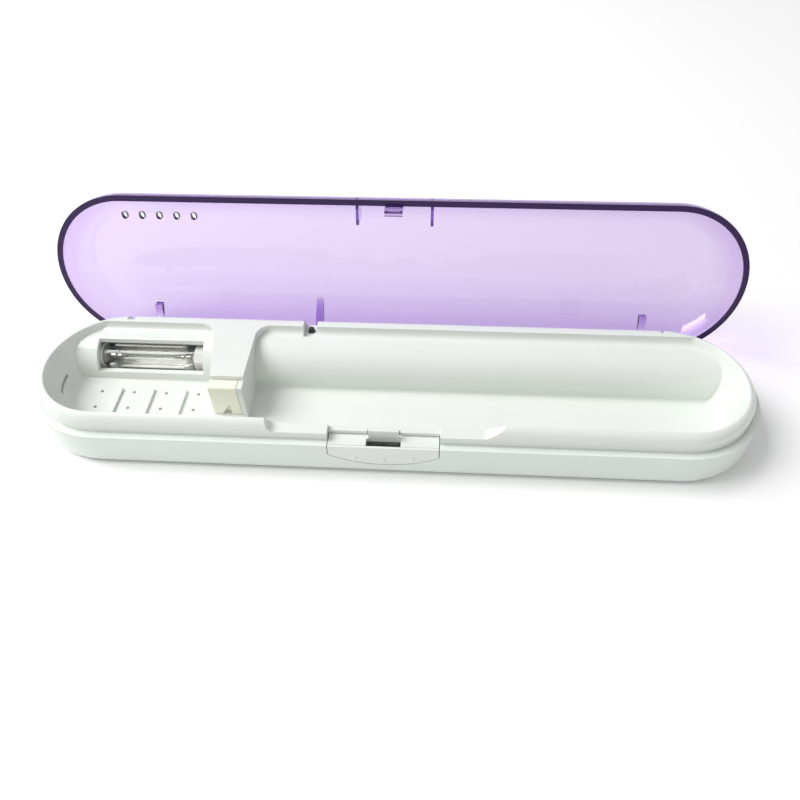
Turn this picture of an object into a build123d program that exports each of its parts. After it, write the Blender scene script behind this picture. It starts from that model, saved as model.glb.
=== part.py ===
"""Travel toothbrush sanitizer: a shallow battery case with a moulded tray, an ultraviolet lamp
behind a window, a press latch and a hinged translucent lid.

Frame: origin at the centre of the case's underside, +X towards the handle end of the
toothbrush, +Y towards the hinge, +Z up. All sizes are in millimetres. The lid is drawn open.
"""
import os
from math import radians, tan

from build123d import *

os.makedirs("parts", exist_ok=True)

# ---------------------------------------------------------------- driving dimensions
length = 222.0            # overall, end to end
width = 51.0              # overall, front to back
case_height = 12.0        # height of the ledge that the lid closes on
wall = 2.0                # wall of the lower case
case_floor = 1.6          # floor of the lower case
foot_round = 3.0          # rounding under the lower case

rim_top = 18.2            # crest of the tray's rim
rim_inset = 2.4           # rim's outer face, in from the case's outline
rim_round = 3.2           # rounding of the rim's outer crest
crest_round = 0.4         # small rounding of the rim's inner crest, front and ends
skirt_bottom = 10.8       # lowest edge of the rim block
flange_top = 11.95        # top of the flange that fills the case's mouth
tray_bottom = 2.0
trough_floor = 3.5        # floor under the toothbrush handle
head_floor = 5.0          # floor under the bristles
cavity_inset = 4.9        # rim's inner edge, in from the case's outline
cavity_draft = 20.0       # slope of the tray's inner walls, in degrees
tray_wall = 1.6

hump_axis = (15.0, 5.9)   # (Y, Z) of the axis of the rounded hump over the batteries
hump_radius = 9.8
hump_back = 18.4          # Y where the hump steps up to the rim
step_round = 2.0          # rounding at the foot of that step
bridge_right = -43.5
bridge_slant = (-49.7, -58.0)   # X of the bridge's left side at the case's front and at hump_back
bridge_front = -5.0
bridge_hollow = (-52.4, -44.8)  # X of the hollow under the bridge
trough_corner = 4.5       # rounding between the bridge and the back rim, in plan
head_corner = 5.0         # the same at the bridge's left side
neck_left = -56.0         # left end of the neck gap and of the neck rest's seat
neck_gap_back = -8.8      # back of the gap for the toothbrush neck
neck_top = 16.8           # top of the neck rest

lid_depth = 11.0
lid_wall = 1.8
lid_top = 1.5
lid_round = 10.0
lid_gap = 0.1             # between ledge and lid when closed
open_angle = 102.0

hinge_y = width / 2 - 3.0
hinge_z = 7.0
hinge_x = 62.0
arm_width = 8.0
knuckle_radius = 2.4
pin_radius = 1.25
pin_length = 14.6

latch_width = 32.0
latch_travel = 1.0
latch_back = -20.2        # back edge of the latch's top plate
latch_pocket = -19.05     # tray wall behind the latch
latch_roof = 12.1         # underside of the tray's lip over the latch's back edge
latch_recess = 13.2       # floor of the tray's recess behind the latch
latch_slot = (10.0, -24.7, -21.9)   # slot width, front edge, back edge

switch_x, switch_y = -26.6, 20.0
plunger_radius = 1.0
plunger_top = 16.4

cell_radius = 5.25
cell_length = 43.7
cell_nub = 0.8
cell_axis = (13.7, 7.6)   # (Y, Z)
cells_end = 86.6          # X of the positive contact
cells_start = cells_end - 2 * (cell_length + cell_nub)

lamp_axis = (12.0, 9.0)   # (Y, Z)
lamp_radius = 3.0
lamp_left, lamp_right = -96.0, -62.4

door_left, door_right = -6.0, 79.0
door_travel = 3.0
door_front, door_back = 7.9, 19.5
screw_spots = [(-101.5, 10.4), (-13.0, 13.0), (101.5, 10.4)]

sides = (("left", -1), ("right", 1))


def corner_box(low, high, mode=Mode.ADD):
    """A box between two opposite corners."""
    size = [b - a for a, b in zip(low, high)]
    with Locations(tuple(a + s / 2 for a, s in zip(low, size))):
        Box(*size, mode=mode)


def oval(inset):
    """The case's outline, drawn in by an inset."""
    return SlotOverall(length - 2 * inset, width - 2 * inset)


def rod(start, radius, height, mode=Mode.ADD):
    """A cylinder along +X from a start point."""
    with Locations(Location(start, (0, 90, 0))):
        Cylinder(radius, height, align=(Align.CENTER, Align.CENTER, Align.MIN), mode=mode)


# ---------------------------------------------------------------- lower case
with BuildSketch(Plane.XZ.offset(width / 2 + 1)) as latch_outline:
    with BuildLine():
        Line((-latch_width / 2, case_height), (-latch_width / 2, 8.4))
        ThreePointArc((-latch_width / 2, 8.4), (0, 4.6), (latch_width / 2, 8.4))
        Line((latch_width / 2, 8.4), (latch_width / 2, case_height))
        Line((latch_width / 2, case_height), (-latch_width / 2, case_height))
    make_face()

with BuildPart() as lower_case:
    with BuildSketch():
        oval(0)
    extrude(amount=case_height)
    fillet(lower_case.edges().group_by(Axis.Z)[0], radius=foot_round)
    with BuildSketch(Plane.XY.offset(case_floor)):
        oval(wall)
    extrude(amount=case_height, mode=Mode.SUBTRACT)
    # bosses over the screw heads
    with Locations([(x, y, 0) for x, y in screw_spots]):
        Cylinder(3.4, 3.0, align=(Align.CENTER, Align.CENTER, Align.MIN))
    with Locations([(x, y, 0) for x, y in screw_spots]):
        Cylinder(2.6, 1.9, align=(Align.CENTER, Align.CENTER, Align.MIN), mode=Mode.SUBTRACT)
        Cylinder(1.2, 8.0, mode=Mode.SUBTRACT)
    # rests for the circuit board and walls that hold the battery contacts
    corner_box((-39.0, 9.0, 1.0), (-36.0, 12.0, 4.0))
    corner_box((-20.5, 9.0, 1.0), (-17.5, 12.0, 4.0))
    corner_box((-29.0, 18.0, 1.0), (-25.0, 21.0, 4.0))
    corner_box((-7.9, 8.4, 1.0), (-6.85, 19.0, 10.0))
    corner_box((87.05, 8.4, 1.0), (88.2, 18.6, 9.4))
    # runners under the latch
    for side in (-1, 1):
        corner_box((side * 12 - 0.6, -23.0, 1.0), (side * 12 + 0.6, -19.4, 6.2))
    # front cut-out for the latch
    extrude(offset(latch_outline.sketch, amount=0.2, mode=Mode.PRIVATE), amount=-6,
            mode=Mode.SUBTRACT)
    corner_box((-latch_width / 2 - 0.2, -30, 10), (latch_width / 2 + 0.2, -23, 20), Mode.SUBTRACT)
    # hinge: bearing blocks, slots for the lid's arms and a rounded edge that the lid swings past
    for x in (-hinge_x, hinge_x):
        for side in (-1, 1):
            inner = x + side * (arm_width / 2 + 0.4)
            outer = x + side * pin_length / 2
            corner_box((min(inner, outer), 20.5, 1.0), (max(inner, outer), 24.0, 9.8))
        corner_box((x - arm_width / 2 - 0.4, 19.6, 2.4), (x + arm_width / 2 + 0.4, 30, 20),
                   Mode.SUBTRACT)
        rod((x - pin_length / 2 - 0.1, hinge_y, hinge_z), pin_radius + 0.02, pin_length + 0.2,
            Mode.SUBTRACT)
    with BuildSketch(Plane.YZ):
        with Locations((hinge_y + 5, hinge_z + 5)):
            Rectangle(10, 10)
        with Locations((hinge_y, hinge_z)):
            Circle(4.95, mode=Mode.SUBTRACT)
    extrude(amount=length / 2, both=True, mode=Mode.SUBTRACT)
    # battery door opening, with a lip that carries the door's flange
    corner_box((door_left - 0.2, door_front - 0.1, -1), (door_right + door_travel + 0.2,
               door_back + 0.1, 0.75), Mode.SUBTRACT)
    corner_box((door_left - 0.4, door_front - 0.9, 0.75), (door_right + 2 * door_travel + 0.4,
               door_back + 0.9, case_floor), Mode.SUBTRACT)
lower_case.part.label = "lower_case"
export_step(lower_case.part, "parts/lower_case.step")


# ---------------------------------------------------------------- upper tray
def basin(floor_z, x_low, x_high):
    """The open space above one stretch of the tray: sloping walls, floor, hump and step."""
    with BuildPart() as space:
        with BuildSketch(Plane.XY.offset(rim_top)):
            oval(cavity_inset)
        extrude(amount=-(rim_top - floor_z), taper=cavity_draft)
        fillet(space.edges().group_by(Axis.Z)[0], radius=2.5)
        with BuildSketch(Plane.XY.offset(rim_top)):
            oval(cavity_inset)
        extrude(amount=3)
        with BuildSketch(Plane.YZ.offset(x_low)):
            hump_y, hump_z = hump_axis
            foot = hump_y - hump_radius
            crown = hump_z + hump_radius
            with BuildLine():
                Line((hump_back, rim_top + 3), (hump_back, crown + step_round))
                CenterArc((hump_back - step_round, crown + step_round), step_round, 0, -90)
                Line((hump_back - step_round, crown), (hump_y, crown))
                CenterArc(hump_axis, hump_radius, 90, 90)
                Line((foot, hump_z), (foot, floor_z + 0.8))
                CenterArc((foot - 0.8, floor_z + 0.8), 0.8, 0, -90)
                Line((foot - 0.8, floor_z), (-30, floor_z))
                Line((-30, floor_z), (-30, rim_top + 3))
                Line((-30, rim_top + 3), (hump_back, rim_top + 3))
            make_face()
        extrude(amount=x_high - x_low, mode=Mode.INTERSECT)
    return space.part


with BuildPart() as trough_space:
    add(basin(trough_floor, bridge_right, length / 2))
    # the corner between the bridge and the back rim is round
    with BuildSketch() as trough_plan:
        with Locations((bridge_right, hump_back)):
            Rectangle(length, 2 * width, align=(Align.MIN, Align.MAX))
        fillet(trough_plan.vertices().group_by(Axis.Y)[-1].sort_by(Axis.X)[0], radius=trough_corner)
    extrude(amount=2 * rim_top, mode=Mode.INTERSECT)
with BuildPart() as head_space:
    add(basin(head_floor, -length / 2, bridge_slant[0]))
    # the bridge's left side runs askew and meets the back rim in a round corner
    with BuildSketch() as head_plan:
        with BuildLine():
            Polyline((-length / 2, -width / 2), (bridge_slant[0], -width / 2),
                     (bridge_slant[1], hump_back), (-length / 2, hump_back), close=True)
        make_face()
        fillet(head_plan.vertices().group_by(Axis.Y)[-1].sort_by(Axis.X)[-1], radius=head_corner)
    extrude(amount=2 * rim_top, mode=Mode.INTERSECT)
with BuildPart() as neck_space:
    add(basin(head_floor, neck_left, bridge_right + 1))
    corner_box((neck_left, -40, 0), (bridge_right + 1, neck_gap_back, 40), Mode.INTERSECT)

with BuildPart() as under_hump:
    with BuildSketch(Plane.XY.offset(tray_bottom - 1)):
        oval(wall + 2.2)
    extrude(amount=rim_top)
    with BuildSketch(Plane.YZ.offset(-length / 2)):
        inner_radius = hump_radius - tray_wall
        with BuildLine():
            Line((hump_axis[0] - inner_radius, 0), (hump_axis[0] - inner_radius, hump_axis[1]))
            CenterArc(hump_axis, inner_radius, 180, -90)
            Line((hump_axis[0], hump_axis[1] + inner_radius), (30, hump_axis[1] + inner_radius))
            Line((30, hump_axis[1] + inner_radius), (30, 0))
            Line((30, 0), (hump_axis[0] - inner_radius, 0))
        make_face()
    extrude(amount=length, mode=Mode.INTERSECT)

with BuildPart() as upper_tray:
    with BuildSketch(Plane.XY.offset(skirt_bottom)):
        oval(rim_inset)
    extrude(amount=rim_top - skirt_bottom)
    fillet(upper_tray.edges().group_by(Axis.Z)[-1], radius=rim_round)
    with BuildSketch(Plane.XY.offset(skirt_bottom)):
        oval(wall + 0.03)
    extrude(amount=flange_top - skirt_bottom)
    with BuildSketch(Plane.XY.offset(skirt_bottom)):
        oval(cavity_inset + (rim_top - skirt_bottom) * tan(radians(cavity_draft)) - tray_wall)
    extrude(amount=-(skirt_bottom - tray_bottom), taper=cavity_draft)
    add(under_hump.part, mode=Mode.SUBTRACT)
    # bosses for the case screws
    with Locations([(x, y, 3.2) for x, y in screw_spots]):
        Cylinder(2.6, 11.2, align=(Align.CENTER, Align.CENTER, Align.MIN))
    for space in (trough_space.part, head_space.part, neck_space.part):
        add(space, mode=Mode.SUBTRACT)
    crest = upper_tray.edges().filter_by(lambda edge: edge.bounding_box().min.Z > rim_top - 0.3)
    fillet(crest.filter_by(lambda edge: edge.bounding_box().min.Y < -19), radius=crest_round)
    with Locations([(x, y, 3.2) for x, y in screw_spots]):
        Cylinder(1.02, 7.0, align=(Align.CENTER, Align.CENTER, Align.MIN), mode=Mode.SUBTRACT)
    # hollow under the bridge, and the seat of the neck rest in front of it
    hollow_left, hollow_right = bridge_hollow
    corner_box((hollow_left, -3.4, 0), (hollow_right, 20.0, 16.6), Mode.SUBTRACT)
    corner_box((neck_left, neck_gap_back - 0.2, head_floor), (bridge_right - tray_wall,
               bridge_front, rim_top + 1), Mode.SUBTRACT)
    corner_box((neck_left, neck_gap_back - 0.2, neck_top), (bridge_right + 1,
               bridge_front, rim_top + 1), Mode.SUBTRACT)
    # lamp window
    corner_box((-95.0, 4.0, 7.9), (-60.5, 12.9, 17.0), Mode.SUBTRACT)
    # drain holes and ribs under the bristles
    with Locations((-77.0, -4.0, head_floor)):
        with GridLocations(10.5, 6.7, 4, 2):
            Cylinder(0.5, 8.0, mode=Mode.SUBTRACT)
    with Locations((-76.2, -4.8, head_floor)):
        with GridLocations(10.5, 1, 3, 1):
            Box(1.3, 10.4, 0.8, align=(Align.CENTER, Align.CENTER, Align.MIN))
    # slit in the head end's wall
    corner_box((-106.5, -6.7, 9.6), (-100.0, 1.3, 10.5), Mode.SUBTRACT)
    # finger scoop in the front rim, and the pocket for the latch
    with BuildSketch(Plane.XZ.offset(15)) as scoop:
        with BuildLine():
            Polyline((-34.5, rim_top + 1), (-32.8, 14.6), (29.0, 14.6), (36.5, rim_top + 1),
                     close=True)
        make_face()
        fillet(scoop.vertices().group_by(Axis.Y)[0], radius=2.4)
    extrude(amount=12, mode=Mode.SUBTRACT)
    pocket_side = latch_width / 2 + 0.2
    corner_box((-pocket_side, -30, 0), (pocket_side, latch_pocket, latch_roof), Mode.SUBTRACT)
    corner_box((-pocket_side, -30, latch_roof - 0.1), (pocket_side, latch_back - 0.2, 30),
               Mode.SUBTRACT)
    corner_box((-pocket_side, -30, latch_recess), (pocket_side, -16, 30), Mode.SUBTRACT)
    corner_box((-4.8, -30, latch_roof - 0.1), (4.8, -19.6, 30), Mode.SUBTRACT)
    # notch over the interlock plunger, with a sloping front, and its guide hole
    with BuildSketch(Plane.YZ.offset(switch_x - 2.2)):
        with BuildLine():
            Polyline((13.5, rim_top + 1), (14.2, rim_top), (17.2, 14.8), (30, 14.8),
                     (30, rim_top + 1), close=True)
        make_face()
    extrude(amount=4.4, mode=Mode.SUBTRACT)
    with Locations((switch_x, switch_y, 14)):
        Cylinder(plunger_radius + 0.1, 4.0, mode=Mode.SUBTRACT)
    # two small notches in the back rim
    corner_box((-87.2, 19.6, 15.4), (-84.8, 30, 30), Mode.SUBTRACT)
    with BuildSketch(Plane.XY.offset(14.5)):
        with BuildLine():
            Polyline((83.7, 24), (86.9, 24), (85.3, 19.4), close=True)
        make_face()
    extrude(amount=6, mode=Mode.SUBTRACT)
upper_tray.part.label = "upper_tray"
export_step(upper_tray.part, "parts/upper_tray.step")

# ---------------------------------------------------------------- lid, drawn closed, then opened
mouth = case_height + lid_gap
with BuildPart() as lid_outside:
    with BuildSketch(Plane.XY.offset(mouth)):
        oval(0)
    extrude(amount=lid_depth)
    fillet(lid_outside.edges().group_by(Axis.Z)[-1], radius=lid_round)

with BuildPart() as lid_inside:
    with BuildSketch(Plane.XY.offset(mouth)):
        oval(lid_wall)
    extrude(amount=lid_depth - lid_top)
    fillet(lid_inside.edges().group_by(Axis.Z)[-1], radius=lid_round - lid_top)

with BuildPart() as lid_ribs:
    # hook's root and its two webs
    corner_box((-2.75, -24.5, mouth), (2.75, -22.6, 16.5))
    for x in (-2.3, 2.3):
        corner_box((x - 0.45, -24.5, mouth + 0.6), (x + 0.45, -22.15, 17.5))
    # stiffening ribs beside the hook, tab over the interlock, lugs by the hinge
    for x in (-11.6, 11.6):
        corner_box((x - 0.45, -24.5, 14.0), (x + 0.45, -16.8, 22.5))
    with BuildSketch(Plane.YZ.offset(switch_x - 1.15)):
        with BuildLine():
            Polyline((11.5, 22.5), (18.9, plunger_top + 0.2), (21.1, plunger_top + 0.2),
                     (21.1, 22.5), close=True)
        make_face()
    extrude(amount=2.3)
    for x in (-83.7, 83.7):
        corner_box((x - 1.15, 16.0, 19.2), (x + 1.15, 24.0, 22.5))
    add(lid_outside.part, mode=Mode.INTERSECT)

with BuildPart() as closed_lid:
    add(lid_outside.part)
    add(lid_inside.part, mode=Mode.SUBTRACT)
    # five vents near the bristle end
    with BuildSketch(Plane.XY.offset(mouth + lid_depth - 6)):
        with Locations((-77.75, -15.6)):
            with GridLocations(5.74, 1, 5, 1):
                SlotOverall(2.3, 1.6, rotation=90)
    extrude(amount=8, mode=Mode.SUBTRACT)
    # hook that catches in the latch
    corner_box((-2.75, -23.45, 9.0), (2.75, -22.25, mouth + 1.0))
    corner_box((-2.75, -22.3, 9.0), (2.75, -21.6, 10.4))
    add(lid_ribs.part)
    # hinge arms
    for x in (-hinge_x, hinge_x):
        low, high = x - arm_width / 2, x + arm_width / 2
        corner_box((low, 23.8, 6.0), (high, 25.4, 13.0))
        corner_box((low, hinge_y, 5.2), (high, 25.4, 8.8))
        rod((low, hinge_y, hinge_z), knuckle_radius, arm_width)
        rod((low - 1, hinge_y, hinge_z), pin_radius + 0.06, arm_width + 2, Mode.SUBTRACT)
hinge_axis = Axis((0, hinge_y, hinge_z), (1, 0, 0))
with BuildPart() as lid:
    add(closed_lid.part.rotate(hinge_axis, -open_angle))
lid.part.label = "lid"
export_step(lid.part, "parts/lid.step")

for name, side in sides:
    with BuildPart() as hinge_pin:
        rod((side * hinge_x - pin_length / 2, hinge_y, hinge_z), pin_radius, pin_length)
        chamfer(hinge_pin.edges().filter_by(GeomType.CIRCLE), length=0.2)
    hinge_pin.part.label = f"hinge_pin_{name}"
    export_step(hinge_pin.part, f"parts/hinge_pin_{name}.step")

# ---------------------------------------------------------------- latch
with BuildPart() as latch_button:
    extrude(latch_outline.sketch.moved(Location((0, 1, 0))), amount=-1.8)
    corner_box((-latch_width / 2, -width / 2, 10.6), (latch_width / 2, latch_back, 11.9))
    for side in (-1, 1):
        inner, outer = side * 14.8, side * 16.0
        corner_box((min(inner, outer), -24.0, 8.6), (max(inner, outer), latch_back, 11.0))
        corner_box((side * 16.2 - 1.2, -23.4, 8.6), (side * 16.2 + 1.2, -22.6, 10.4))
        with Locations(Location((side * 10.5, -24.0, 8.4), (-90, 0, 0))):
            Cylinder(0.9, 2.0, align=(Align.CENTER, Align.CENTER, Align.MIN))
    # slot for the lid's hook, and the guide tongue behind it
    slot_width, slot_front, slot_back = latch_slot
    corner_box((-slot_width / 2, slot_front, 8.0), (slot_width / 2, slot_back, 13.0), Mode.SUBTRACT)
    corner_box((-4.4, slot_back, 11.0), (4.4, slot_back + 1.0, 15.2))
    # three raised dots for the fingertip
    with Locations((-8.4, -width / 2 + 0.5, 7.4), (0, -width / 2 + 0.5, 6.6),
                   (8.4, -width / 2 + 0.5, 7.4)):
        Sphere(0.95)
    corner_box((-latch_width / 2, -width / 2 - 2, 11.9), (latch_width / 2, slot_front, 14),
               Mode.SUBTRACT)
latch_button.part.label = "latch_button"
export_step(latch_button.part, "parts/latch_button.step")

for name, side in sides:
    with BuildPart() as latch_spring:
        with BuildLine() as spring_path:
            Helix(pitch=0.85, height=3.2, radius=1.5, direction=(0, -1, 0),
                  center=(side * 10.5, latch_pocket - 0.25, 8.4))
        with BuildSketch(Plane(spring_path.line @ 0, z_dir=spring_path.line % 0)):
            Circle(0.2)
        sweep(is_frenet=True)
    latch_spring.part.label = f"latch_spring_{name}"
    export_step(latch_spring.part, f"parts/latch_spring_{name}.step")

# ---------------------------------------------------------------- neck rest
with BuildPart() as neck_rest:
    corner_box((-54.0, neck_gap_back + 0.2, head_floor + 0.05), (-45.3, bridge_front - 0.05,
               neck_top))
    fillet(neck_rest.edges().filter_by(Axis.X).group_by(Axis.Z)[-1].sort_by(Axis.Y)[0], radius=0.8)
    with BuildSketch(Plane.XZ.offset(-neck_gap_back - 1.5)):
        with BuildLine():
            Polyline((-51.4, head_floor), (-48.3, head_floor), (-48.7, 9.4), close=True)
        make_face()
    extrude(amount=3, mode=Mode.SUBTRACT)
neck_rest.part.label = "neck_rest"
export_step(neck_rest.part, "parts/neck_rest.step")

# ---------------------------------------------------------------- lamp
lamp_y, lamp_z = lamp_axis
with BuildPart() as uv_lamp:
    rod((lamp_left, lamp_y, lamp_z), lamp_radius, lamp_right - lamp_left)
    rod((lamp_left, lamp_y, lamp_z), lamp_radius - 0.5, lamp_right - lamp_left, Mode.SUBTRACT)
uv_lamp.part.label = "uv_lamp"
export_step(uv_lamp.part, "parts/uv_lamp.step")

for name, side in sides:
    outer_end = lamp_left if side < 0 else lamp_right
    cap_start = min(outer_end, outer_end - side * 1.8)
    with BuildPart() as lamp_cap:
        rod((cap_start, lamp_y, lamp_z), lamp_radius - 0.52, 1.8)
    lamp_cap.part.label = f"lamp_cap_{name}"
    export_step(lamp_cap.part, f"parts/lamp_cap_{name}.step")

    with BuildPart() as lamp_electrode:
        stem_start = outer_end - side * 1.8
        for reach, radius, bead in ((0.0, 0.3, 4.4), (1.7, 0.9, 1.5), (3.9, 0.7, 1.1)):
            first, last = stem_start - side * reach, stem_start - side * (reach + bead)
            rod((min(first, last), lamp_y, lamp_z), radius, bead)
    lamp_electrode.part.label = f"lamp_electrode_{name}"
    export_step(lamp_electrode.part, f"parts/lamp_electrode_{name}.step")

    with BuildPart() as lamp_socket:
        low = lamp_left - 1.5 if side < 0 else lamp_right - 1.6
        high = lamp_left + 1.6 if side < 0 else lamp_right + 1.5
        corner_box((low, 8.3, case_floor + 0.02), (high, 16.0, 12.4))
        chamfer(lamp_socket.edges().filter_by(Axis.X).group_by(Axis.Z)[-1].sort_by(Axis.Y)[0],
                length=2.2)
        rod((min(outer_end, outer_end - side * 4), lamp_y, lamp_z), lamp_radius + 0.03, 4.0,
            Mode.SUBTRACT)
    lamp_socket.part.label = f"lamp_socket_{name}"
    export_step(lamp_socket.part, f"parts/lamp_socket_{name}.step")

    clip_x = outer_end - side * 4.4
    with BuildPart() as lamp_clip:
        corner_box((clip_x - 0.8, 8.2, case_floor + 0.02), (clip_x + 0.8, 15.8, 8.4))
        rod((clip_x - 2, lamp_y, lamp_z), lamp_radius + 0.05, 4.0, Mode.SUBTRACT)
    lamp_clip.part.label = f"lamp_clip_{name}"
    export_step(lamp_clip.part, f"parts/lamp_clip_{name}.step")

with BuildPart() as lamp_reflector:
    with BuildSketch(Plane.YZ.offset(lamp_left + 5.5)):
        with BuildLine():
            outer_arc = CenterArc(lamp_axis, 4.1, -115, 195)
            inner_arc = CenterArc(lamp_axis, 3.7, -115, 195)
            Line(outer_arc @ 0, inner_arc @ 0)
            Line(outer_arc @ 1, inner_arc @ 1)
        make_face()
    extrude(amount=lamp_right - lamp_left - 11.0)
lamp_reflector.part.label = "lamp_reflector"
export_step(lamp_reflector.part, "parts/lamp_reflector.step")

# ---------------------------------------------------------------- electronics
board_top = 5.2
with BuildPart() as circuit_board:
    corner_box((-40.0, 8.0, 4.0), (-16.5, 21.8, board_top))
circuit_board.part.label = "circuit_board"
export_step(circuit_board.part, "parts/circuit_board.step")

with BuildPart() as interlock_switch:
    corner_box((switch_x - 3.2, switch_y - 2.2, board_top), (switch_x + 3.2, switch_y + 2.2, 10.4))
    with Locations((switch_x, switch_y, 7.4)):
        Cylinder(plunger_radius + 0.08, 6.0, align=(Align.CENTER, Align.CENTER, Align.MIN),
                 mode=Mode.SUBTRACT)
interlock_switch.part.label = "interlock_switch"
export_step(interlock_switch.part, "parts/interlock_switch.step")

with BuildPart() as switch_plunger:
    with Locations((switch_x, switch_y, 8.6)):
        Cylinder(plunger_radius, plunger_top - 8.6, align=(Align.CENTER, Align.CENTER, Align.MIN))
    fillet(switch_plunger.edges().group_by(Axis.Z)[-1], radius=0.9)
switch_plunger.part.label = "switch_plunger"
export_step(switch_plunger.part, "parts/switch_plunger.step")

with BuildPart() as capacitor:
    with Locations((-36.5, 12.5, board_top)):
        Cylinder(2.5, 6.4, align=(Align.CENTER, Align.CENTER, Align.MIN))
    fillet(capacitor.edges().group_by(Axis.Z)[-1], radius=0.4)
capacitor.part.label = "capacitor"
export_step(capacitor.part, "parts/capacitor.step")

with BuildPart() as control_chip:
    corner_box((-31.5, 10.0, board_top), (-25.5, 14.0, board_top + 1.5))
    with Locations((-28.5, 12.0, board_top)):
        with GridLocations(1.27, 5.0, 4, 2):
            Box(0.4, 1.4, 0.5, align=(Align.CENTER, Align.CENTER, Align.MIN))
control_chip.part.label = "control_chip"
export_step(control_chip.part, "parts/control_chip.step")

with BuildPart() as transformer_core:
    core_left, core_right = -51.9, -45.3
    corner_box((core_left, -1.5, 2.6), (core_right, 11.5, 12.6))
    corner_box((core_left - 1, 1.0, 4.6), (core_right + 1, 9.0, 10.6), Mode.SUBTRACT)
    corner_box((core_left, 4.0, 4.0), (core_right, 6.0, 11.0))
transformer_core.part.label = "transformer_core"
export_step(transformer_core.part, "parts/transformer_core.step")

with BuildPart() as transformer_winding:
    corner_box((core_left - 0.3, 1.6, 4.7), (core_right + 0.3, 8.4, 10.5))
    corner_box((core_left - 0.1, 3.95, 0), (core_right + 0.1, 6.05, 20), Mode.SUBTRACT)
transformer_winding.part.label = "transformer_winding"
export_step(transformer_winding.part, "parts/transformer_winding.step")

# ---------------------------------------------------------------- batteries and contacts
cell_y, cell_z = cell_axis
for number in (1, 2):
    cell_x = cells_start + (number - 1) * (cell_length + cell_nub)
    with BuildPart() as battery:
        rod((cell_x, cell_y, cell_z), cell_radius, cell_length)
        fillet(battery.edges().filter_by(GeomType.CIRCLE), radius=0.4)
        rod((cell_x + cell_length - 0.1, cell_y, cell_z), 1.9, cell_nub + 0.1)
    battery.part.label = f"battery_{number}"
    export_step(battery.part, f"parts/battery_{number}.step")

with BuildPart() as contact_negative:
    corner_box((cells_start - 4.4, 9.4, 1.8), (cells_start - 4.0, 18.4, 11.0))
    corner_box((cells_start - 4.4, 16.4, 10.9), (cells_start - 4.0, 18.4, 12.6))
contact_negative.part.label = "contact_negative"
export_step(contact_negative.part, "parts/contact_negative.step")

with BuildPart() as contact_positive:
    corner_box((cells_end, 9.4, 1.8), (cells_end + 0.4, 18.4, 11.0))
    corner_box((cells_end, 17.0, 10.9), (cells_end + 0.4, 20.8, 13.4))
contact_positive.part.label = "contact_positive"
export_step(contact_positive.part, "parts/contact_positive.step")

with BuildPart() as contact_spring:
    with BuildLine() as coil_path:
        Helix(pitch=1.1, height=3.3, radius=3.0, direction=(1, 0, 0),
              center=(cells_start - 3.7, cell_y, cell_z))
    with BuildSketch(Plane(coil_path.line @ 0, z_dir=coil_path.line % 0)):
        Circle(0.28)
    sweep(is_frenet=True)
contact_spring.part.label = "contact_spring"
export_step(contact_spring.part, "parts/contact_spring.step")

with BuildPart() as battery_door:
    corner_box((door_left, door_front, 0.1), (door_right, door_back, 0.9))
    corner_box((door_left, door_front - 0.7, 0.85), (door_right + door_travel, door_back + 0.7, 1.5))
    with Locations((door_right - 6.0, (door_front + door_back) / 2, 0)):
        with GridLocations(1.6, 1, 5, 1):
            Box(0.7, 7.0, 0.6, align=(Align.CENTER, Align.CENTER, Align.MIN), mode=Mode.SUBTRACT)
battery_door.part.label = "battery_door"
export_step(battery_door.part, "parts/battery_door.step")

# ---------------------------------------------------------------- leads
lead_radius = 0.5
lead_routes = {
    "lamp_lead_left": ([(-97.5, 14.0, 6.5), (-99.4, 14.0, 6.5), (-99.4, 17.4, 4.6),
                        (-94.0, 18.2, 4.6), (-40.0, 18.2, 4.6)], 0.9),
    "lamp_lead_right": ([(-60.9, 14.0, 6.5), (-58.6, 14.0, 6.5), (-55.5, 15.6, 4.6),
                         (-40.0, 15.6, 4.6)], 1.2),
    "battery_lead_positive": ([(cells_end, 19.9, 12.4), (-19.0, 19.9, 12.4),
                               (-19.0, 19.9, board_top)], 3.0),
    "battery_lead_negative": ([(cells_start - 4.4, 17.4, 11.6), (-11.0, 17.4, 11.6),
                               (-13.0, 17.4, 4.6), (-16.5, 17.4, 4.6)], 1.0),
}
for name, (points, bend) in lead_routes.items():
    with BuildPart() as lead:
        with BuildLine() as lead_path:
            FilletPolyline(*points, radius=bend)
        with BuildSketch(Plane(lead_path.line @ 0, z_dir=lead_path.line % 0)):
            Circle(lead_radius)
        sweep()
    lead.part.label = name
    export_step(lead.part, f"parts/{name}.step")

# ---------------------------------------------------------------- case screws
with BuildPart() as case_screws:
    for x, y in screw_spots:
        with Locations((x, y, 0.5)):
            Cylinder(2.3, 1.4, align=(Align.CENTER, Align.CENTER, Align.MIN))
            Cylinder(1.0, 8.5, align=(Align.CENTER, Align.CENTER, Align.MIN))
            Box(3.4, 0.6, 0.6, align=(Align.CENTER, Align.CENTER, Align.MIN), mode=Mode.SUBTRACT)
            Box(0.6, 3.4, 0.6, align=(Align.CENTER, Align.CENTER, Align.MIN), mode=Mode.SUBTRACT)
case_screws.part.label = "case_screws"
export_step(case_screws.part, "parts/case_screws.step")
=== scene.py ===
"""Looks for the travel toothbrush sanitizer: materials for every moulded, metal and glass part,
the fine pieces that the CAD leaves out, a pale floor, soft light and the camera.

All lengths are in metres, in the frame of the CAD model.
"""
import math

import bmesh
import bpy
from mathutils import Matrix, Vector


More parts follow.
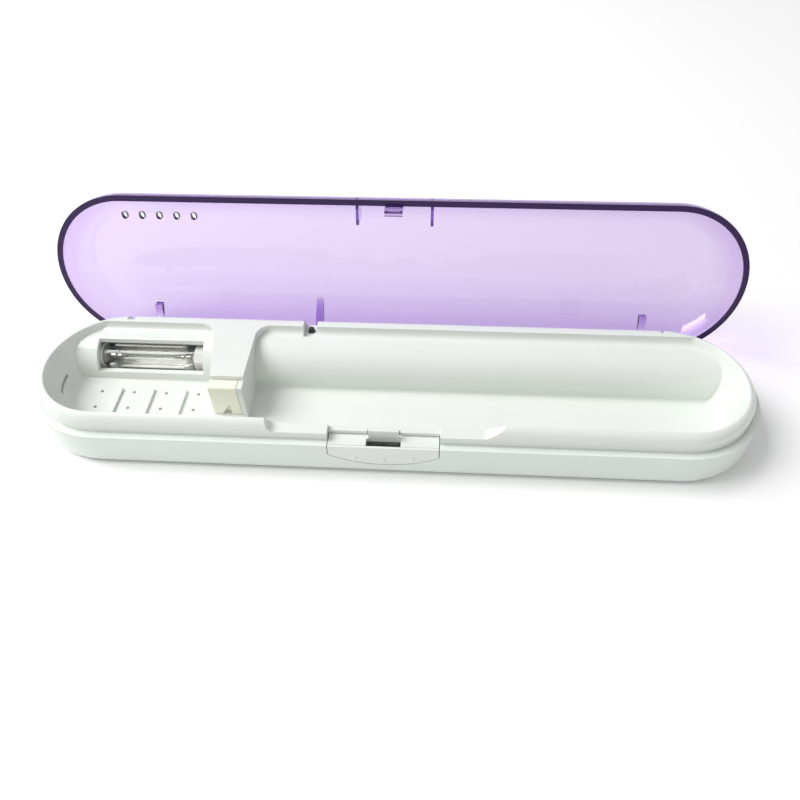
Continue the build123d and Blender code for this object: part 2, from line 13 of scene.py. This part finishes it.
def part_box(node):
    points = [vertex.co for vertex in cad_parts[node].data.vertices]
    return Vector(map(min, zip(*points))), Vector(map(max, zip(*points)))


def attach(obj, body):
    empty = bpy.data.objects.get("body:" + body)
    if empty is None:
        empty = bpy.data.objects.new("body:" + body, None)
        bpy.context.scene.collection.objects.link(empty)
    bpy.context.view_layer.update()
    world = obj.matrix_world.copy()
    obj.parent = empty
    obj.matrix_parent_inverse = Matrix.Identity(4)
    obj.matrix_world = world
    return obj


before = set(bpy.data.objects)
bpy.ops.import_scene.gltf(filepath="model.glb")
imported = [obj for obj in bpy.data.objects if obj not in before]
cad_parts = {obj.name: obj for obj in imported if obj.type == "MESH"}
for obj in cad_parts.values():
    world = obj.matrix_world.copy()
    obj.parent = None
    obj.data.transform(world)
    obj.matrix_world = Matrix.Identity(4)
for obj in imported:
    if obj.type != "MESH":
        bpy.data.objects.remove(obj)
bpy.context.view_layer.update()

MM = 0.001
SIDES = ("left", "right")

# the lid, measured as when it is shut
OPEN_ANGLE = 102.0                       # how far it is open at rest, in degrees
HINGE_Y, HINGE_Z = 22.5 * MM, 7.0 * MM
MOUTH = 12.1 * MM                        # height of its end face
# limits of the painted shade on the lid's end face
MOUTH_RISE = (-0.1 * MM, -0.05 * MM)     # from MOUTH: where the end face's tint comes in
MOUTH_FALL = (0.1 * MM, 0.6 * MM)        # and where it dies out up the wall
VENT_X = -77.75 * MM                     # middle of the row of vents
VENT_Y = -15.6 * MM
VENT_PITCH = 5.74 * MM
VENT_STRAIGHT = 0.35                     # half the straight part of a vent, in mm
VENT_EDGE = (0.80, 1.05)                 # square of the distance from it, in square mm
VENT_REACH = (1.35 * MM, 1.45 * MM)      # along Y from VENT_Y
ROW_HALF = (2.35 * VENT_PITCH, 2.4 * VENT_PITCH)
LID_TINT, LID_DENSITY = (0.50, 0.22, 0.76), 385.0
# painted shade: dark violet colour and low clearness for the lid's end face and vent walls, in
# place of their edge-on look
EDGE_SHADE_PAINT, PAINTED_EDGE_CLEARNESS = (0.030, 0.002, 0.085), 0.15   # end face and vent walls

# the lamp's filament coils
LAMP_AXIS = (12.0 * MM, 9.0 * MM)        # (Y, Z)
FILAMENT_RADIUS, FILAMENT_LENGTH, FILAMENT_TURNS = 0.55 * MM, 1.9 * MM, 7
FILAMENT_WIRE = 0.09 * MM
FILAMENT_GAP = 1.0 * MM                  # from the electrode's end to the middle of the coil

# resistors with rings of colour, legs and solder joints, in mm
RESISTOR_PLACES = ((-34.5, 18.6), (-34.5, 20.6), (-20.0, 10.2))
RESISTOR_PROFILE = ((-1.7, 0.55), (-1.5, 0.85), (-1.1, 0.92), (-0.9, 0.75),
                    (0.9, 0.75), (1.1, 0.92), (1.5, 0.85), (1.7, 0.55))
RESISTOR_LIFT = 1.0                      # from the board up to its axis
RING_PITCH, RING_HALF, RING_FADE = 0.7, 0.20, 0.02
RING_COLOURS = ((0.35, 0.05, 0.02), (0.03, 0.03, 0.03), (0.45, 0.32, 0.02))
LEG_ROOT, LEG_REACH, LEG_BEND, LEG_WIRE = 1.6, 2.3, 0.15, 0.16
LEG_FOOT = 0.1                           # how far a leg goes into the board
JOINT_PROFILE = ((0.0, 0.42), (0.12, 0.36), (0.3, 0.2))

# the capacitor's metal top
TOP_PROFILE = ((0.0, 2.0 * MM), (0.05 * MM, 1.95 * MM))
TOP_SINK = 0.02 * MM

# turns of wire round the transformer
WIRE = 0.07 * MM                         # radius
WIRE_TURNS = 6
WIRE_CORNER = 0.3 * MM                   # cut off each corner of a turn
WIRE_LIFT = 0.4                          # of its radius, off the winding's face

# the bright end of a battery's jacket, and the way over which it fades
JACKET_BAND, JACKET_FADE = 10.0 * MM, 0.2 * MM


# ------------------------------------------------------------------ node helpers
class Recipe:
    """A material being made: its node tree, the shader and the shared position in the frame."""

    def __init__(self, name):
        self.material = bpy.data.materials.new(name)
        self.material.use_nodes = True
        self.tree = self.material.node_tree
        self.tree.nodes.clear()
        self.shader = self.add("ShaderNodeBsdfPrincipled")
        self.output = self.add("ShaderNodeOutputMaterial")
        self.join(self.shader.outputs["BSDF"], self.output.inputs["Surface"])
        self.place = self.add("ShaderNodeTexCoord").outputs["Object"]

    def add(self, kind, **settings):
        node = self.tree.nodes.new(kind)
        for key, value in settings.items():
            setattr(node, key, value)
        return node

    def join(self, source, target):
        self.tree.links.new(source, target)

    def set(self, **values):
        """Plain values for the shader's sockets, with _ in place of spaces."""
        for key, value in values.items():
            self.shader.inputs[key.replace("_", " ")].default_value = value

    def link(self, **sources):
        """Values from nodes for the shader's sockets, with _ in place of spaces."""
        for key, source in sources.items():
            self.join(source, self.shader.inputs[key.replace("_", " ")])

    def axes(self, where):
        """The X, Y and Z of a position."""
        node = self.add("ShaderNodeSeparateXYZ")
        self.join(where, node.inputs["Vector"])
        return node.outputs["X"], node.outputs["Y"], node.outputs["Z"]

    def noise(self, scale, detail, stretch=(1, 1, 1)):
        """Soft noise; scale counts blobs per metre."""
        where = self.place
        if tuple(stretch) != (1, 1, 1):
            mapping = self.add("ShaderNodeMapping")
            mapping.inputs["Scale"].default_value = stretch
            self.join(where, mapping.inputs["Vector"])
            where = mapping.outputs["Vector"]
        node = self.add("ShaderNodeTexNoise")
        node.inputs["Scale"].default_value = scale
        node.inputs["Detail"].default_value = detail
        node.inputs["Roughness"].default_value = 0.55
        self.join(where, node.inputs["Vector"])
        return node.outputs["Fac"]

    def span(self, value, low, high, start=0.3, end=0.7, clamp=True):
        """value, from start to end, carried over to low to high."""
        node = self.add("ShaderNodeMapRange", clamp=clamp)
        limits = {"From Min": start, "From Max": end, "To Min": low, "To Max": high}
        for key, number in limits.items():
            node.inputs[key].default_value = number
        self.join(value, node.inputs["Value"])
        return node.outputs["Result"]

    def calc(self, operation, *values, clamp=False):
        """A sum on one or two values, each of them a number or another node's value."""
        node = self.add("ShaderNodeMath", operation=operation, use_clamp=clamp)
        for socket, value in zip(node.inputs, values):
            if isinstance(value, (int, float)):
                socket.default_value = value
            else:
                self.join(value, socket)
        return node.outputs["Value"]

    def between(self, value, rise, fall):
        """1 between two limits: up over the (start, end) of rise, down over that of fall."""
        return self.calc("MULTIPLY", self.span(value, 0, 1, start=rise[0], end=rise[1]),
                         self.span(value, 1, 0, start=fall[0], end=fall[1]))

    def blend(self, factor, first, second):
        """first to second colour, by factor."""
        node = self.add("ShaderNodeMix", data_type="RGBA")
        self.join(factor, node.inputs["Factor"])
        for socket, colour in (("A", first), ("B", second)):
            target = [s for s in node.inputs if s.name == socket and s.type == "RGBA"][0]
            if isinstance(colour, (tuple, list)):
                target.default_value = (*colour, 1)
            else:
                self.join(colour, target)
        return [s for s in node.outputs if s.type == "RGBA"][0]

    def relief(self, height, depth, strength=1.0, under=None):
        """A bump of that depth in metres, laid over another normal if one is given."""
        node = self.add("ShaderNodeBump")
        node.inputs["Strength"].default_value = strength
        node.inputs["Distance"].default_value = depth
        self.join(height, node.inputs["Height"])
        if under is not None:
            self.join(under, node.inputs["Normal"])
        return node.outputs["Normal"]

    def soft_edges(self, radius):
        """The normal with small rounded edges, as every moulded edge has."""
        node = self.add("ShaderNodeBevel", samples=4)
        node.inputs["Radius"].default_value = radius
        return node.outputs["Normal"]

    def edge_mask(self, rounded):
        """Towards 1 where a rounded edge turns away from the face."""
        flat = self.add("ShaderNodeNewGeometry").outputs["Normal"]
        dot = self.add("ShaderNodeVectorMath", operation="DOT_PRODUCT")
        self.join(rounded, dot.inputs[0])
        self.join(flat, dot.inputs[1])
        return self.span(dot.outputs["Value"], 1.0, 0.0, start=0.8, end=1.0)

    def pass_shadow_rays(self):
        """Lets light straight through to what lies behind the surface."""
        clear = self.add("ShaderNodeBsdfTransparent")
        path = self.add("ShaderNodeLightPath")
        mix = self.add("ShaderNodeMixShader")
        self.join(path.outputs["Is Shadow Ray"], mix.inputs["Fac"])
        self.join(self.shader.outputs["BSDF"], mix.inputs[1])
        self.join(clear.outputs["BSDF"], mix.inputs[2])
        self.join(mix.outputs["Shader"], self.output.inputs["Surface"])


# ------------------------------------------------------------------ materials
def moulded(name, colour, shade, roughness=(0.16, 0.26), edge=0.35 * MM, worn=None, glow=0.0,
            grain=2600, grain_depth=0.004 * MM):
    """Injection-moulded plastic: slight clouding, a fine skin, rounded edges and wear on them."""
    r = Recipe(name)
    cloud = r.noise(scale=45, detail=4)
    skin = r.noise(scale=grain, detail=2)
    flow = r.noise(scale=30, detail=2, stretch=(0.25, 1, 1))
    rounded = r.soft_edges(edge)
    base = r.blend(r.span(cloud, 0, 1), colour, shade)
    if worn:
        base = r.blend(r.edge_mask(rounded), base, worn)
    r.link(Base_Color=base, Roughness=r.span(flow, *roughness),
           Normal=r.relief(skin, grain_depth, under=rounded))
    r.set(IOR=1.53)
    if glow:
        r.set(Subsurface_Weight=glow, Subsurface_Radius=(1.0, 0.9, 0.75),
              Subsurface_Scale=1.2 * MM)
    return r.material


def shut_position(r):
    """The position turned about the hinge to where the lid's material is when it is shut."""
    turn = math.radians(OPEN_ANGLE)
    node = r.add("ShaderNodeMapping", vector_type="POINT")
    node.inputs["Rotation"].default_value = (turn, 0, 0)
    node.inputs["Location"].default_value = (
        0, HINGE_Y - HINGE_Y * math.cos(turn) + HINGE_Z * math.sin(turn),
        HINGE_Z - HINGE_Y * math.sin(turn) - HINGE_Z * math.cos(turn))
    r.join(r.place, node.inputs["Vector"])
    return node.outputs["Vector"]


def vent_mask(r, x, y):
    """1 on the walls of the five vents: round-ended slots along Y in a row along X."""
    nearest = r.calc("PINGPONG", r.span(x, 0, 4, start=VENT_X - 2 * VENT_PITCH,
                                        end=VENT_X + 2 * VENT_PITCH, clamp=False), 0.5)
    across = r.calc("MULTIPLY", r.calc("MULTIPLY", nearest, VENT_PITCH), 1 / MM)
    reach = r.calc("ABSOLUTE", r.calc("SUBTRACT", y, VENT_Y))
    beyond = r.calc("SUBTRACT", r.calc("MULTIPLY", reach, 1 / MM), VENT_STRAIGHT, clamp=True)
    square = r.calc("ADD", r.calc("POWER", beyond, 2.0), r.calc("POWER", across, 2.0))
    near_slot = r.span(square, 1, 0, start=VENT_EDGE[0], end=VENT_EDGE[1])
    in_row = r.between(x, rise=(VENT_X - ROW_HALF[1], VENT_X - ROW_HALF[0]),
                       fall=(VENT_X + ROW_HALF[0], VENT_X + ROW_HALF[1]))
    in_reach = r.span(reach, 1, 0, start=VENT_REACH[0], end=VENT_REACH[1])
    return r.calc("MULTIPLY", r.calc("MULTIPLY", near_slot, in_row), in_reach)


def tinted_clear(name, absorb, density):
    """Clear tinted plastic: the tint deepens with the length of the way through it.

    The cut faces of the lid, at its mouth and in its vents, get painted shade: a dark violet, less
    clear colour in place of their edge-on look through the tinted wall and its darker reflections.
    """
    r = Recipe(name)
    r.set(IOR=1.55, Specular_IOR_Level=0.3)
    x, y, z = r.axes(shut_position(r))
    # the end face and a little of the wall above it, not the hook and arms below it
    mouth = r.between(z, rise=[MOUTH + step for step in MOUTH_RISE],
                      fall=[MOUTH + step for step in MOUTH_FALL])
    cut = r.calc("MAXIMUM", mouth, vent_mask(r, x, y))
    smear = r.noise(scale=38, detail=4)
    ripple = r.noise(scale=90, detail=1, stretch=(0.4, 1, 1))
    # painted shade on the end face and vent walls, in place of their edge-on look through the
    # tinted wall
    r.link(Base_Color=r.blend(cut, (1, 1, 1), EDGE_SHADE_PAINT),
           Transmission_Weight=r.span(cut, 1.0, PAINTED_EDGE_CLEARNESS, start=0, end=1),
           Roughness=r.span(smear, 0.015, 0.05),
           Normal=r.relief(ripple, 0.03 * MM, strength=0.6))
    volume = r.add("ShaderNodeVolumeAbsorption")
    volume.inputs["Color"].default_value = (*absorb, 1)
    volume.inputs["Density"].default_value = density
    r.join(volume.outputs["Volume"], r.output.inputs["Volume"])
    r.pass_shadow_rays()
    return r.material


def quartz(name):
    """Clear lamp glass, with a faint uneven bloom."""
    r = Recipe(name)
    r.set(Base_Color=(0.97, 0.99, 0.98, 1), Transmission_Weight=1.0, IOR=1.46)
    bloom = r.noise(scale=160, detail=3)
    r.link(Roughness=r.span(bloom, 0.0, 0.09))
    r.pass_shadow_rays()
    return r.material


def metal(name, colour, shade, roughness=(0.2, 0.4), stretch=(1, 1, 1), depth=0.004 * MM,
          metallic=1.0):
    """Bare or plated metal with drawn or rolled grain along its short stretch direction."""
    r = Recipe(name)
    tarnish = r.noise(scale=220, detail=4)
    lines = r.noise(scale=1500, detail=3, stretch=stretch)
    r.link(Base_Color=r.blend(r.span(tarnish, 0, 1), colour, shade),
           Roughness=r.span(lines, *roughness),
           Normal=r.relief(lines, depth, under=r.soft_edges(0.1 * MM)))
    r.set(Metallic=metallic)
    return r.material


def sleeve(name, colour, shade):
    """Soft wire insulation or shrink sleeve."""
    r = Recipe(name)
    cloud = r.noise(scale=300, detail=3)
    skin = r.noise(scale=3500, detail=2)
    r.link(Base_Color=r.blend(r.span(cloud, 0, 1), colour, shade),
           Roughness=r.span(cloud, 0.3, 0.45), Normal=r.relief(skin, 0.006 * MM))
    r.set(IOR=1.5)
    return r.material


def board_mask(name):
    """Green solder mask over copper tracks that run along the board."""
    r = Recipe(name)
    tracks = r.add("ShaderNodeTexBrick", offset=0.5, squash=1.0)
    layout = {"Scale": 420.0, "Mortar Size": 0.08, "Brick Width": 2.6, "Row Height": 0.5}
    for key, number in layout.items():
        tracks.inputs[key].default_value = number
    r.join(r.place, tracks.inputs["Vector"])
    line = tracks.outputs["Fac"]
    cloud = r.noise(scale=500, detail=3)
    mask = r.blend(r.span(cloud, 0, 1), (0.018, 0.13, 0.06), (0.025, 0.17, 0.08))
    r.link(Base_Color=r.blend(line, mask, (0.05, 0.30, 0.12)),
           Roughness=r.span(cloud, 0.2, 0.32), Normal=r.relief(line, 0.035 * MM))
    return r.material


def battery_sleeve(name, band_start, band_end):
    """A plain printed jacket: a dark body with a bright band at the positive end."""
    r = Recipe(name)
    x, _, _ = r.axes(r.place)
    band = r.span(x, 0, 1, start=band_start, end=band_end)
    scuff = r.noise(scale=260, detail=5)
    body = r.blend(r.span(scuff, 0, 1), (0.02, 0.07, 0.05), (0.03, 0.10, 0.07))
    r.link(Base_Color=r.blend(band, body, (0.55, 0.42, 0.16)),
           Roughness=r.span(scuff, 0.22, 0.42))
    r.set(Metallic=0.35)
    return r.material


def banded(name, body, bands, start, pitch):
    """A resistor's lacquer with coloured rings along X."""
    r = Recipe(name)
    x, _, _ = r.axes(r.place)
    cloud = r.noise(scale=900, detail=3)
    base = r.blend(r.span(cloud, 0, 1), body, tuple(0.85 * part for part in body))
    half, outer = RING_HALF * MM, (RING_HALF + RING_FADE) * MM
    for index, band in enumerate(bands):
        middle = start + pitch * index
        ring = r.between(x, rise=(middle - outer, middle - half),
                         fall=(middle + half, middle + outer))
        base = r.blend(ring, base, band)
    r.link(Base_Color=base, Roughness=r.span(cloud, 0.2, 0.35),
           Normal=r.relief(cloud, 0.01 * MM))
    return r.material


# ------------------------------------------------------------------ finishes for the CAD parts
case_plastic = moulded("case_white_plastic", (0.77, 0.825, 0.775), (0.75, 0.81, 0.755),
                       worn=(0.86, 0.87, 0.85), glow=0.06)
tray_plastic = moulded("tray_white_plastic", (0.80, 0.835, 0.79), (0.78, 0.82, 0.77),
                       worn=(0.88, 0.88, 0.87), glow=0.08)
latch_plastic = moulded("latch_white_plastic", (0.79, 0.83, 0.785), (0.77, 0.815, 0.765),
                        edge=0.25 * MM, worn=(0.87, 0.87, 0.85), glow=0.06)
cream_plastic = moulded("neck_cream_plastic", (0.95, 0.94, 0.80), (0.93, 0.92, 0.77),
                        roughness=(0.4, 0.52), edge=0.4 * MM, worn=(0.88, 0.87, 0.74), glow=0.25)
socket_plastic = moulded("socket_white_plastic", (0.78, 0.78, 0.75), (0.74, 0.75, 0.71),
                         roughness=(0.35, 0.5), edge=0.2 * MM, glow=0.05)
black_plastic = moulded("black_plastic", (0.012, 0.012, 0.013), (0.02, 0.02, 0.021),
                        roughness=(0.35, 0.5), edge=0.1 * MM, worn=(0.06, 0.06, 0.06))
ferrite = moulded("ferrite", (0.035, 0.035, 0.037), (0.06, 0.058, 0.056), roughness=(0.55, 0.75),
                  edge=0.15 * MM, worn=(0.11, 0.11, 0.11), grain=5000, grain_depth=0.02 * MM)
lid_plastic = tinted_clear("lid_violet_clear", LID_TINT, LID_DENSITY)
lamp_glass = quartz("lamp_quartz")
lamp_metal = metal("lamp_metal", (0.68, 0.66, 0.60), (0.52, 0.50, 0.45), roughness=(0.15, 0.35))
foil = metal("reflector_foil", (0.92, 0.89, 0.84), (0.84, 0.81, 0.76), roughness=(0.5, 0.62),
             stretch=(0.1, 1, 1), depth=0.002 * MM, metallic=0.25)
steel = metal("plain_steel", (0.58, 0.58, 0.58), (0.45, 0.45, 0.46), roughness=(0.25, 0.42))
nickel = metal("nickel_plate", (0.66, 0.63, 0.57), (0.55, 0.52, 0.46), stretch=(1, 0.1, 1))
copper = metal("winding_copper", (0.55, 0.22, 0.09), (0.45, 0.17, 0.06), roughness=(0.2, 0.35))
board_green = board_mask("board_solder_mask")
shrink_sleeve = sleeve("capacitor_sleeve", (0.012, 0.02, 0.07), (0.02, 0.03, 0.09))
tape = sleeve("winding_tape", (0.62, 0.40, 0.05), (0.50, 0.31, 0.04))
red_lead = sleeve("lead_red_pvc", (0.42, 0.02, 0.02), (0.36, 0.015, 0.015))
black_lead = sleeve("lead_black_pvc", (0.015, 0.015, 0.016), (0.025, 0.025, 0.026))
white_lead = sleeve("lead_white_pvc", (0.74, 0.74, 0.71), (0.68, 0.68, 0.65))

finish = {
    "lower_case": case_plastic, "battery_door": case_plastic, "upper_tray": tray_plastic,
    "latch_button": latch_plastic, "neck_rest": cream_plastic, "lid": lid_plastic,
    "uv_lamp": lamp_glass, "lamp_reflector": foil, "circuit_board": board_green,
    "interlock_switch": black_plastic, "switch_plunger": black_plastic,
    "control_chip": black_plastic, "capacitor": shrink_sleeve, "transformer_core": ferrite,
    "transformer_winding": tape, "contact_negative": nickel, "contact_positive": nickel,
    "contact_spring": nickel, "case_screws": steel,
    "battery_lead_positive": red_lead, "battery_lead_negative": black_lead,
}
for side in SIDES:
    finish.update({
        f"hinge_pin_{side}": steel, f"latch_spring_{side}": steel,
        f"lamp_cap_{side}": socket_plastic, f"lamp_electrode_{side}": lamp_metal,
        f"lamp_socket_{side}": socket_plastic, f"lamp_clip_{side}": socket_plastic,
        f"lamp_lead_{side}": white_lead,
    })
for number in (1, 2):
    _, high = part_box(f"battery_{number}")
    band_end = high.x - JACKET_BAND
    finish[f"battery_{number}"] = battery_sleeve(f"battery_jacket_{number}",
                                                 band_end - JACKET_FADE, band_end)

for node_name, material in finish.items():
    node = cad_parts[node_name]
    node.data.materials.clear()
    node.data.materials.append(material)


# ------------------------------------------------------------------ fine pieces
def from_rings(name, rings, material):
    """A closed piece of the case skinned over rings of points, which have the same count."""
    shape = bmesh.new()
    loops = [[shape.verts.new(point) for point in ring] for ring in rings]
    sides = len(loops[0])
    for first, second in zip(loops, loops[1:]):
        for step in range(sides):
            following = (step + 1) % sides
            wall = shape.faces.new((first[step], first[following],
                                    second[following], second[step]))
            wall.smooth = True
    shape.faces.new(reversed(loops[0]))
    shape.faces.new(loops[-1])
    bmesh.ops.recalc_face_normals(shape, faces=shape.faces)
    mesh = bpy.data.meshes.new(name)
    shape.to_mesh(mesh)
    shape.free()
    mesh.materials.append(material)
    piece = bpy.data.objects.new(name, mesh)
    bpy.context.scene.collection.objects.link(piece)
    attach(piece, "case")


def swept(name, points, radius, material, sides=8):
    """A round wire along points."""
    spots = [Vector(point) for point in points]
    angles = [2 * math.pi * step / sides for step in range(sides)]
    normal = (spots[1] - spots[0]).orthogonal().normalized()
    rings = []
    for index, spot in enumerate(spots):
        before, after = spots[max(index - 1, 0)], spots[min(index + 1, len(spots) - 1)]
        along = (after - before).normalized()
        normal = (normal - along * normal.dot(along)).normalized()
        other = along.cross(normal)
        rings.append([spot + (normal * math.cos(a) + other * math.sin(a)) * radius
                      for a in angles])
    from_rings(name, rings, material)


def turned(name, place, profile, material, axis="Z", sides=24):
    """A turned piece: profile holds (distance along the axis, radius) pairs from end to end."""
    rings = []
    for along, radius in profile:
        ring = []
        for step in range(sides):
            angle = 2 * math.pi * step / sides
            a, b = radius * math.cos(angle), radius * math.sin(angle)
            ring.append(Vector(place) + Vector((along, a, b) if axis == "X" else (a, b, along)))
        rings.append(ring)
    from_rings(name, rings, material)


def coil(centre, radius, length, turns, per_turn=16):
    """Points of a coil along X about centre."""
    count = turns * per_turn
    points = []
    for step in range(count + 1):
        angle = 2 * math.pi * step / per_turn
        points.append((centre[0] - length / 2 + length * step / count,
                       centre[1] + radius * math.cos(angle),
                       centre[2] + radius * math.sin(angle)))
    return points


# filament coils at the inner ends of the lamp's electrodes
for side in SIDES:
    low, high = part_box(f"lamp_electrode_{side}")
    middle = high.x + FILAMENT_GAP if side == "left" else low.x - FILAMENT_GAP
    swept(f"lamp_filament_{side}",
          coil((middle, *LAMP_AXIS), FILAMENT_RADIUS, FILAMENT_LENGTH, FILAMENT_TURNS),
          FILAMENT_WIRE, lamp_metal)

# resistors on the circuit board, with their legs and solder joints
_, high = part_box("circuit_board")
board_top = high.z
for number, (x, y) in enumerate(RESISTOR_PLACES, start=1):
    place = (x * MM, y * MM, board_top + RESISTOR_LIFT * MM)
    lacquer = banded(f"resistor_lacquer_{number}", (0.42, 0.30, 0.16), RING_COLOURS,
                     (x - RING_PITCH) * MM, RING_PITCH * MM)
    turned(f"resistor_{number}", place, [(a * MM, b * MM) for a, b in RESISTOR_PROFILE],
           lacquer, axis="X")
    for side, away in zip(SIDES, (-1, 1)):
        bend = (x + away * LEG_REACH) * MM
        leg = [((x + away * LEG_ROOT) * MM, *place[1:]), (bend - away * LEG_BEND * MM, *place[1:]),
               (bend, place[1], place[2] - LEG_BEND * MM),
               (bend, place[1], board_top - LEG_FOOT * MM)]
        swept(f"resistor_{number}_leg_{side}", leg, LEG_WIRE * MM, steel)
        turned(f"resistor_{number}_joint_{side}", (bend, place[1], board_top),
               [(a * MM, b * MM) for a, b in JOINT_PROFILE], steel, sides=16)

# aluminium top of the capacitor
low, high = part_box("capacitor")
turned("capacitor_top", ((low.x + high.x) / 2, (low.y + high.y) / 2, high.z - TOP_SINK),
       TOP_PROFILE, lamp_metal)

# turns of wire round the transformer
low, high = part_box("transformer_winding")
lift = WIRE * WIRE_LIFT
x0, x1, y0, y1 = low.x - lift, high.x + lift, low.y - lift, high.y + lift
for number in range(1, WIRE_TURNS + 1):
    height = low.z + (high.z - low.z) * number / (WIRE_TURNS + 1)
    corners = ((x0 + WIRE_CORNER, y0), (x1 - WIRE_CORNER, y0),
               (x1, y0 + WIRE_CORNER), (x1, y1 - WIRE_CORNER),
               (x1 - WIRE_CORNER, y1), (x0 + WIRE_CORNER, y1),
               (x0, y1 - WIRE_CORNER), (x0, y0 + WIRE_CORNER), (x0 + WIRE_CORNER, y0))
    swept(f"winding_turn_{number}", [(x, y, height) for x, y in corners], WIRE, copper,
          sides=6)


# ------------------------------------------------------------------ floor, light and camera
def studio_floor():
    """A wide pale floor just under the case."""
    mesh = bpy.data.meshes.new("floor")
    shape = bmesh.new()
    bmesh.ops.create_grid(shape, x_segments=8, y_segments=8, size=2.5)
    shape.to_mesh(mesh)
    shape.free()
    floor = bpy.data.objects.new("floor", mesh)
    floor.location.z = -0.02 * MM
    bpy.context.scene.collection.objects.link(floor)
    r = Recipe("floor_paper")
    grain = r.noise(scale=700, detail=3)
    r.link(Base_Color=r.blend(r.span(grain, 0, 1), (0.96, 0.96, 0.96), (0.975, 0.975, 0.975)),
           Roughness=r.span(grain, 0.7, 0.8))
    r.set(Specular_IOR_Level=0.1)
    floor.data.materials.append(r.material)


def softbox(name, place, aim, width, height, power):
    """A rectangular white light at place, facing aim."""
    lamp = bpy.data.lights.new(name, "AREA")
    lamp.shape = "RECTANGLE"
    lamp.size = width
    lamp.size_y = height
    lamp.energy = power
    holder = bpy.data.objects.new(name, lamp)
    holder.location = place
    holder.rotation_euler = (Vector(aim) - Vector(place)).to_track_quat("-Z", "Y").to_euler()
    bpy.context.scene.collection.objects.link(holder)


def sky(strength):
    """Even white light from all round."""
    world = bpy.data.worlds.new("studio_sky")
    world.use_nodes = True
    background = world.node_tree.nodes["Background"]
    background.inputs["Color"].default_value = (1, 1, 1, 1)
    background.inputs["Strength"].default_value = strength
    bpy.context.scene.world = world


def camera(aim, azimuth, elevation, roll, distance, lens):
    """A camera that looks at aim from that side and height, rolled about its own axis."""
    a, e = math.radians(azimuth), math.radians(elevation)
    back = Vector((math.sin(a) * math.cos(e), -math.cos(a) * math.cos(e), math.sin(e)))
    right = Vector((math.cos(a), math.sin(a), 0))
    up = back.cross(right)
    turn = Matrix((right, up, back)).transposed() @ Matrix.Rotation(math.radians(roll), 3, "Z")
    data = bpy.data.cameras.new("camera")
    data.lens = lens
    data.clip_start = 0.01
    data.clip_end = 20
    holder = bpy.data.objects.new("camera", data)
    holder.matrix_world = Matrix.Translation(Vector(aim) + back * distance) @ turn.to_4x4()
    bpy.context.scene.collection.objects.link(holder)
    bpy.context.scene.camera = holder


studio_floor()
sky(strength=0.52)
softbox("key", place=(-0.78, 0.09, 0.96), aim=(0, 0, 0.01), width=0.80, height=0.75, power=14.2)
camera(aim=(2.91 * MM, 4.79 * MM, -0.44 * MM), azimuth=4.43, elevation=47.49, roll=-1.35,
       distance=228.6 * MM, lens=31.53)
bpy.context.scene.view_settings.view_transform = "Standard"
